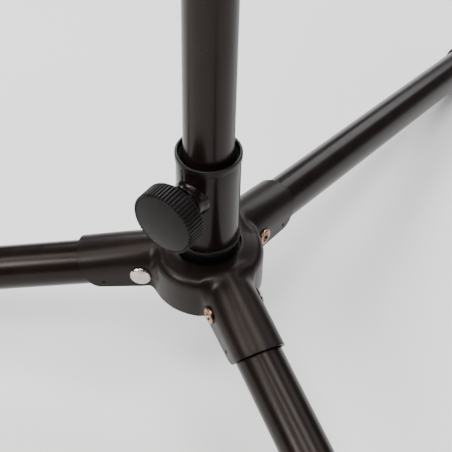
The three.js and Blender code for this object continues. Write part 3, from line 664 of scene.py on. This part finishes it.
def collar():
    ring_low = low_z("collar_base_bush") + RING_RISE
    seam = low_z("collar_sleeve") - BUSH_OVERLAP
    rim = high_z("collar_sleeve") + BUSH_OVERLAP
    top = high_z("collar_top_bush")
    neck = low_z("collar_base_bush")
    base = [
        (3, neck, 0.3), (NECK_RADIUS, neck, 1), (NECK_RADIUS, ring_low, 0.3), (RING_RADIUS, ring_low, 0.6),
        (RING_RADIUS, seam, 0.6), (SPIGOT_RADIUS, seam), (SPIGOT_RADIUS, seam + 14, 0.4),
        (MAST_BORE, seam + 14, 0.4), (MAST_BORE, neck + 3), (3, neck + 3, 0.3),
    ]
    piece("collar_lower_ring", *lathe(rounded(base)), BUSH, "base", "collar_base_bush", "moulded_black")
    crown = [
        (SPIGOT_RADIUS, rim - 11, 0.3), (SPIGOT_RADIUS, rim), (RIM_RADIUS, rim, 0.3), (RIM_RADIUS, top, 0.7),
        (15.1, top, 0.35), (15.0, rim + 0.6), (MAST_BORE, rim - 1.2, 0.3), (MAST_BORE, rim - 11, 0.3),
    ]
    piece("collar_rim", *lathe(rounded(crown)), BUSH, "base", "collar_top_bush", "moulded_black")
    sleeve("collar_tube", "base", "collar_sleeve", seam + 0.15, rim - 0.15, BASE_SCREW_Z, 0)
    boss("collar_boss", "base", "collar_thread_boss", BASE_SCREW_Z, 0)
    corners = [(WELD_RING[r], WELD_RING[z], 0.3) for r, z in
               (("inner", "low"), ("outer", "low"), ("outer", "high"), ("inner", "high"))]
    piece("hub_weld_ring", *lathe(rounded(corners)), HIDDEN_COAT, "base", "hub_backing_ring", "powder_coat")


def sleeve(name, body, node, low, high, screw, turn):
    obj = piece(name, *ring(SLEEVE_BORE, SLEEVE_RADIUS, low, high, 0.45, 128), COLLAR, body, node,
                "powder_coat")
    screw_way(obj, screw, turn)


def screw_way(obj, z, turn):
    """Cuts the hole that a thumb screw and its pad pass through in one wall."""
    radius, start, end = SCREW_WAY["radius"], SCREW_WAY["from"], SCREW_WAY["to"]
    hole = lathe([(0, start), (radius, start), (radius, end), (0, end)], 40)
    cut(obj, [(*hole, spin(turn) @ up(z) @ along_front())])


def boss(name, body, node, z, turn):
    """Threaded boss with a weld bead round its root; its foot follows the sleeve."""
    profile = rounded([
        (SCREW_HOLE, SLEEVE_RADIUS, 0.1), (BOSS_RADIUS + 1.0, SLEEVE_RADIUS, 0.1),
        (BOSS_RADIUS + 0.7, SLEEVE_RADIUS + 0.5, 0.3), (BOSS_RADIUS, SLEEVE_RADIUS + 1.2, 0.5),
        (BOSS_RADIUS, BOSS_FACE, 0.6), (SCREW_HOLE, BOSS_FACE, 0.4),
    ])
    bead_end = SLEEVE_RADIUS + 1.8

    def ripple(r, depth, angle):
        in_bead = 1 if r > BOSS_RADIUS + 0.2 else 0
        return r + in_bead * 0.05 * math.sin(23 * angle)

    vertices, faces = lathe(profile, 152, ripple)
    wrapped = []
    for x, y, depth in vertices:
        sag = math.sqrt(SLEEVE_RADIUS ** 2 - x * x) - SLEEVE_RADIUS
        follow = min(max((bead_end - depth) / (bead_end - SLEEVE_RADIUS), 0), 1)
        wrapped.append((x, y, depth + sag * follow))
    piece(name, wrapped, faces, COLLAR, body, node, "powder_coat",
          spin(turn) @ up(z) @ along_front(), sharp=45)


# ---------------------------------------------------------------- thumb screws
PAD = {"gap": 0.4, "radius": 3.5, "thick": 0.9, "behind": 0.3}
SCREW_IN_KNOB = 8.0
KNOB_BACK = 25.7
KNOB_SPAN = {"band": 1.0, "chamfer": 10.6, "rim": 11.9, "crown": 13.2}
KNOB_RADIUS = 17.0
KNOB_RIBS = 54
KNOB_FACE_RADIUS = 15.6
KNOB_BORE_DEPTH = 8.3
RIB_DEPTH = 0.7
RIB_START = 15.5  # the radius inside which a knob has no ribs


def knob(name, body, node, place, back):
    """Knurled knob: straight ribs that run out on the chamfers, and a smooth domed face."""
    band, chamfer = back + KNOB_SPAN["band"], back + KNOB_SPAN["chamfer"]
    rim, crown = back + KNOB_SPAN["rim"], back + KNOB_SPAN["crown"]
    shares = [1 - k / 14 for k in range(14)]
    dome = [(KNOB_FACE_RADIUS * share, mix(crown, rim - 0.3, share ** 2)) for share in shares]
    bore_end = back + KNOB_BORE_DEPTH
    corners = rounded([
        (SCREW_HOLE, back, 0.3), (8.5, back, 0.3), (9.2, back + 0.8, 0.4), (13.0, back + 0.8, 0.4),
        (13.6, back, 0.3), (15.6, back, 0.3), (KNOB_RADIUS, band + 0.4, 0.5),
        (KNOB_RADIUS, chamfer + 0.5, 0.4), (15.95, rim, 0.25), (15.7, rim - 0.3, 0.1),
    ])
    profile = corners + dome + [(0, crown), (0, bore_end), (SCREW_HOLE, bore_end)]

    def ribs(r, z, angle):
        ribbed = smooth((r - RIB_START) / 0.6) * (1 if back < z < rim else 0)
        wave = abs(((angle * KNOB_RIBS / (2 * math.pi)) % 1) * 2 - 1)
        return r - RIB_DEPTH * ribbed * smooth((wave - 0.5) / 0.35)

    piece(name, *lathe(profile, KNOB_RIBS * 10, ribs), KNOB, body, node, "knob_black", place, sharp=38)


def threaded_rod(start, end):
    """Screw shank with an M8 thread and a dog point, in millimetres along the screw."""
    pitch, depth, sides = 1.25, 0.38, 40
    levels = [start + k * pitch / 8 for k in range(int((end - start) / pitch * 8) + 1)]
    profile = [(0, start)] + [(SCREW_RADIUS, z) for z in levels] + [(0, levels[-1])]

    def thread(r, z, angle):
        if z < start + 0.5:
            return r - 1.0
        return r - depth * abs(((z / pitch - angle / (2 * math.pi)) % 1) * 2 - 1)

    return lathe(profile, sides, thread)


def thumb_screw(name, tube_radius, z, turn):
    place = spin(turn) @ up(z) @ along_front()
    front = tube_radius + PAD["gap"]
    back = front + PAD["thick"]
    disc = [(0, front), (PAD["radius"], front, 0.15), (PAD["radius"], back, 0.15), (0, back)]
    piece(f"{name}_pressure_pad", *lathe(rounded(disc), 40), BRASS, f"{name}_pad", f"{name}_screw_pad",
          "brass_pad", place)
    rod = threaded_rod(back + PAD["behind"], KNOB_BACK + SCREW_IN_KNOB)
    piece(f"{name}_shank", *rod, ZINC, f"{name}_thumb_screw", f"{name}_screw", "zinc_steel", place, sharp=70)
    knob(f"{name}_knurled_knob", f"{name}_thumb_screw", f"{name}_knob", place, KNOB_BACK)


# ---------------------------------------------------------------- mast
MAST_RADIUS = 12.5
MAST_WALL = 1.2
UPPER_RADIUS = 9.5
UPPER_WALL = 1.0
GUIDE_BORE = 9.8
GUIDE_RADIUS = 11.0


def mast():
    foot_z, top = low_z("mast_lower_tube"), high_z("mast_lower_tube")
    lower = piece("mast_lower", *ring(MAST_RADIUS - MAST_WALL, MAST_RADIUS, foot_z, top), TUBE,
                  "lower_mast", "mast_lower_tube", "powder_coat")
    screw_way(lower, CLAMP_SCREW_Z, 180)
    upper_low, upper_top = low_z("mast_upper_tube"), high_z("mast_upper_tube")
    piece("mast_upper", *ring(UPPER_RADIUS - UPPER_WALL, UPPER_RADIUS, upper_low, upper_top), TUBE,
          "upper_mast", "mast_upper_tube", "powder_coat")
    refined("mast_foot_plug", BUSH)
    refined("mast_guide_plug", BUSH)
    clamp(top)


def clamp(top):
    low = low_z("clamp_base_bush")
    seam = low + 3
    lower = [
        (MAST_BORE, low, 0.3), (RING_RADIUS, low, 0.6), (RING_RADIUS, seam, 0.6), (SPIGOT_RADIUS, seam),
        (SPIGOT_RADIUS, seam + 9, 0.3), (MAST_BORE, seam + 9, 0.3),
    ]
    piece("clamp_lower_ring", *lathe(rounded(lower)), BUSH, "lower_mast", "clamp_base_bush",
          "moulded_black")
    rim, edge = top + 0.1, top + 4.3
    upper = [
        (GUIDE_BORE, top - 32, 0.2), (GUIDE_RADIUS, top - 32, 0.2), (GUIDE_RADIUS, rim),
        (RIM_RADIUS, rim, 0.3), (RIM_RADIUS, edge, 0.9), (10.9, edge, 0.3), (GUIDE_BORE, edge - 1.0, 0.3),
    ]
    crown = piece("clamp_rim", *lathe(rounded(upper)), BUSH, "lower_mast", "clamp_top_bush",
                  "moulded_black")
    screw_way(crown, CLAMP_SCREW_Z, 180)
    sleeve("clamp_tube", "lower_mast", "clamp_sleeve", seam + 0.08, top, CLAMP_SCREW_Z, 180)
    boss("clamp_boss", "lower_mast", "clamp_thread_boss", CLAMP_SCREW_Z, 180)


# ---------------------------------------------------------------- desk
DESK = {"width": 500, "height": 340, "rim": 8, "sheet": 1.2, "corner": 30, "below": 160,
        "shelf": 58, "lip": 10}
STANDOFF = 30
DESK_FRONT = -STANDOFF - DESK["sheet"]
DESK_BEND = 2.2
SHELF_BEND = 2.4
SHELF_END_RADIUS = 14.0
TILT_KNOB_BACK = 19.9
DESK_RIVETS = [(-22, -34), (22, -34), (-22, 34), (22, 34)]


def rounded_loop(half_width, half_height, radius, steps=14):
    loop = []
    for sx, sz, start in ((1, 1, 0), (-1, 1, 90), (-1, -1, 180), (1, -1, 270)):
        for k in range(steps + 1):
            angle = math.radians(start + 90 * k / steps)
            loop.append((sx * (half_width - radius) + radius * math.cos(angle),
                         sz * (half_height - radius) + radius * math.sin(angle)))
    return loop


def bend(radius, steps=6):
    """A quarter bend of sheet, as offsets from its outer corner: starts along it, ends across it."""
    angles = [math.pi / 2 * k / steps for k in range(steps + 1)]
    return [(radius * (1 - math.sin(a)), radius * (1 - math.cos(a))) for a in angles]


def skin(loops, count):
    """Faces that join one closed loop of points to the next, with a face over each end."""
    faces = [list(range(count)), list(range((loops - 1) * count, loops * count))]
    for i in range(loops - 1):
        for k in range(count):
            n = (k + 1) % count
            faces.append([i * count + k, i * count + n, (i + 1) * count + n, (i + 1) * count + k])
    return faces


def desk_panel():
    """Tray with rolled rims: loops of the outline, each at its own inset and depth, front to back."""
    width, height, sheet = DESK["width"], DESK["height"], DESK["sheet"]
    back = DESK_FRONT + DESK["rim"]
    section = [(x, DESK_FRONT + y) for x, y in bend(DESK_BEND)]
    section += [(0, back - 0.5), (0.2, back - 0.1), (sheet / 2, back), (sheet - 0.2, back - 0.1),
                (sheet, back - 0.5)]
    section += [(sheet + x, DESK_FRONT + sheet + y) for x, y in reversed(bend(DESK_BEND - sheet))]
    vertices = []
    middle = height / 2 - DESK["below"]
    for inset, y in section:
        loop = rounded_loop(width / 2 - inset, height / 2 - inset, DESK["corner"] - inset)
        vertices += [(x, y, z + middle) for x, z in loop]
    faces = skin(len(section), len(loop))
    offset = len(vertices)
    shelf_vertices, shelf_faces = shelf()
    vertices += shelf_vertices
    faces += [[offset + v for v in face] for face in shelf_faces]
    piece("desk_sheet", vertices, faces, POWDER, "desk", "desk_panel", "powder_coat", leaning(), sharp=50)


def shelf():
    """The ledge with its upturned lip: an L section with a bend, run across the desk."""
    foot_z, sheet = -DESK["below"], DESK["sheet"]
    front, top = DESK_FRONT - DESK["shelf"], foot_z + DESK["lip"]
    outline = [(DESK_FRONT + 0.3, foot_z)]
    outline += [(front + y, foot_z + z) for y, z in bend(SHELF_BEND)]
    outline += [(front, top - 0.5), (front + 0.3, top), (front + sheet - 0.3, top),
                (front + sheet, top - 0.5)]
    outline += [(front + sheet + y, foot_z + sheet + z) for y, z in reversed(bend(SHELF_BEND - sheet))]
    outline.append((DESK_FRONT + 0.3, foot_z + sheet))
    half = DESK["width"] / 2 - DESK["corner"]
    straight = half - SHELF_END_RADIUS
    stations = [mix(-half, -straight, k / 8) for k in range(9)]
    stations += [mix(straight, half, k / 8) for k in range(9)]
    vertices = []
    for x in stations:
        past = max(abs(x) - straight, 0)
        pull = SHELF_END_RADIUS - math.sqrt(max(SHELF_END_RADIUS ** 2 - past ** 2, 0))
        for y, z in outline:
            share = (DESK_FRONT - y) / DESK["shelf"]
            vertices.append((x, y + pull * min(max(share, 0), 1), z))
    return vertices, skin(len(stations), len(outline))


def desk():
    desk_panel()
    refined("desk_bracket", POWDER, 0.4)
    refined("tilt_head", CASTING, 0.8)
    refined("tilt_head_pin", ZINC, 0.3)
    refined("tilt_bolt", ZINC, 0.3)
    refined("tilt_friction_washer_left", NYLON, 0.2)
    refined("tilt_friction_washer_right", NYLON, 0.2)
    refined("tilt_washer", ZINC, 0.2)
    knob("tilt_knurled_knob", "tilt_knob", "tilt_knob", leaning() @ along_x(), TILT_KNOB_BACK)
    desk_rivets()


def desk_rivets():
    """Domed heads on the front of the panel, shanks through it, and closed heads behind the bracket."""
    profile = rounded([
        (0, DESK_FRONT - 1.75), (2.9, DESK_FRONT - 1.6, 1.5), (4.8, DESK_FRONT - 0.5, 0.5),
        (4.8, DESK_FRONT - 0.02, 0.1), (2.4, DESK_FRONT), (2.4, -STANDOFF + 2.3),
        (3.6, -STANDOFF + 2.32, 0.2), (3.2, -STANDOFF + 3.6, 0.6), (0, -STANDOFF + 3.8),
    ])
    for k, (x, z) in enumerate(DESK_RIVETS):
        place = leaning() @ Matrix.Translation((x, 0, z)) @ Matrix.Rotation(-math.pi / 2, 4, "X")
        piece(f"desk_rivet_head_{k + 1}", *lathe(profile, 32), POWDER, "desk", f"desk_rivet_{k + 1}",
              "powder_coat", place)


# ---------------------------------------------------------------- camera, floor and light
CAMERA = {"azimuth": 34.01, "elevation": 45.18, "roll": 1.68, "distance": 542.5, "lens": 82.42}
AIM_ABOVE_HUB = 2.8
AIM_OFFSET = (-9.69, -11.96)  # where the aimed point stands in the frame, right and up, in millimetres


def camera():
    azimuth, elevation, roll = (math.radians(CAMERA[k]) for k in ("azimuth", "elevation", "roll"))
    forward = Vector((-math.sin(azimuth) * math.cos(elevation), math.cos(azimuth) * math.cos(elevation),
                      -math.sin(elevation)))
    level = forward.cross(Vector((0, 0, 1))).normalized()
    above = level.cross(forward)
    right = math.cos(roll) * level + math.sin(roll) * above
    top = -math.sin(roll) * level + math.cos(roll) * above
    aim = HUB + Vector((0, 0, AIM_ABOVE_HUB))
    where = aim - right * AIM_OFFSET[0] - top * AIM_OFFSET[1] - forward * CAMERA["distance"]
    data = bpy.data.cameras.new("camera")
    data.lens, data.sensor_width = CAMERA["lens"], 36
    data.clip_start, data.clip_end = 0.01, 50
    obj = bpy.data.objects.new("camera", data)
    obj.matrix_world = Matrix((
        (right.x, top.x, -forward.x, where.x * MM),
        (right.y, top.y, -forward.y, where.y * MM),
        (right.z, top.z, -forward.z, where.z * MM),
        (0, 0, 0, 1),
    ))
    bpy.context.scene.collection.objects.link(obj)
    bpy.context.scene.camera = obj


def floor():
    mesh = bpy.data.meshes.new("floor")
    half = 6
    mesh.from_pydata([(-half, -half, 0), (half, -half, 0), (half, half, 0), (-half, half, 0)], [],
                     [[0, 1, 2, 3]])
    obj = bpy.data.objects.new("floor", mesh)
    material, tree, shader = new_material("floor_white", (0.86, 0.86, 0.86), 0.9)
    vary_colour(tree, shader, noise(tree, 3, 2), (0.85, 0.85, 0.85), (0.87, 0.87, 0.87))
    mesh.materials.append(material)
    bpy.context.scene.collection.objects.link(obj)


def area_light(name, where, aim, size, power, colour):
    data = bpy.data.lights.new(name, "AREA")
    data.shape = "SQUARE"
    data.size = size
    data.energy = power
    data.color = colour
    obj = bpy.data.objects.new(name, data)
    obj.location = where
    obj.rotation_mode = "QUATERNION"
    obj.rotation_quaternion = (Vector(aim) - Vector(where)).to_track_quat("-Z", "Y")
    bpy.context.scene.collection.objects.link(obj)


LIGHT_DISTANCE = 1.7
LIGHT_AIM_Z = 0.12
SOFT_BOXES = {  # azimuth and elevation in degrees, side in metres, power in watts, colour
    "overhead": (0, 86, 1.2, 39, (1.0, 0.99, 0.97)),
    "key": (275, 64, 0.5, 15, (1.0, 0.98, 0.95)),
    "front_left": (244, 36, 0.5, 17, (1.0, 0.98, 0.96)),
    "left_high": (216, 50, 0.55, 6, (1.0, 0.98, 0.96)),
    "rear_left": (134, 37, 0.9, 23, (0.94, 0.97, 1.0)),
    "rear": (100, 22, 0.7, 6, (0.94, 0.97, 1.0)),
    "rear_right": (60, 42, 0.7, 4, (0.94, 0.97, 1.0)),
    "right_low": (5, 14, 0.8, 4, (0.92, 0.96, 1.0)),
}


def lights():
    world = bpy.data.worlds.new("studio")
    world.use_nodes = True
    background = world.node_tree.nodes["Background"]
    background.inputs["Color"].default_value = (1.0, 0.985, 0.97, 1)
    background.inputs["Strength"].default_value = 0.06
    bpy.context.scene.world = world
    aim = Vector((0, MAST_Y * MM, LIGHT_AIM_Z))
    for name, (azimuth, elevation, size, power, colour) in SOFT_BOXES.items():
        turn, rise = math.radians(azimuth), math.radians(elevation)
        towards = Vector((math.cos(turn) * math.cos(rise), math.sin(turn) * math.cos(rise), math.sin(rise)))
        area_light(name, aim + towards * LIGHT_DISTANCE, aim, size, power, colour)


camera()
floor()
lights()
hub_shell()
for leg_side in LEG_AZIMUTH:
    leg(leg_side)
collar()
thumb_screw("base", MAST_RADIUS, BASE_SCREW_Z, 0)
thumb_screw("clamp", UPPER_RADIUS, CLAMP_SCREW_Z, 180)
mast()
desk()
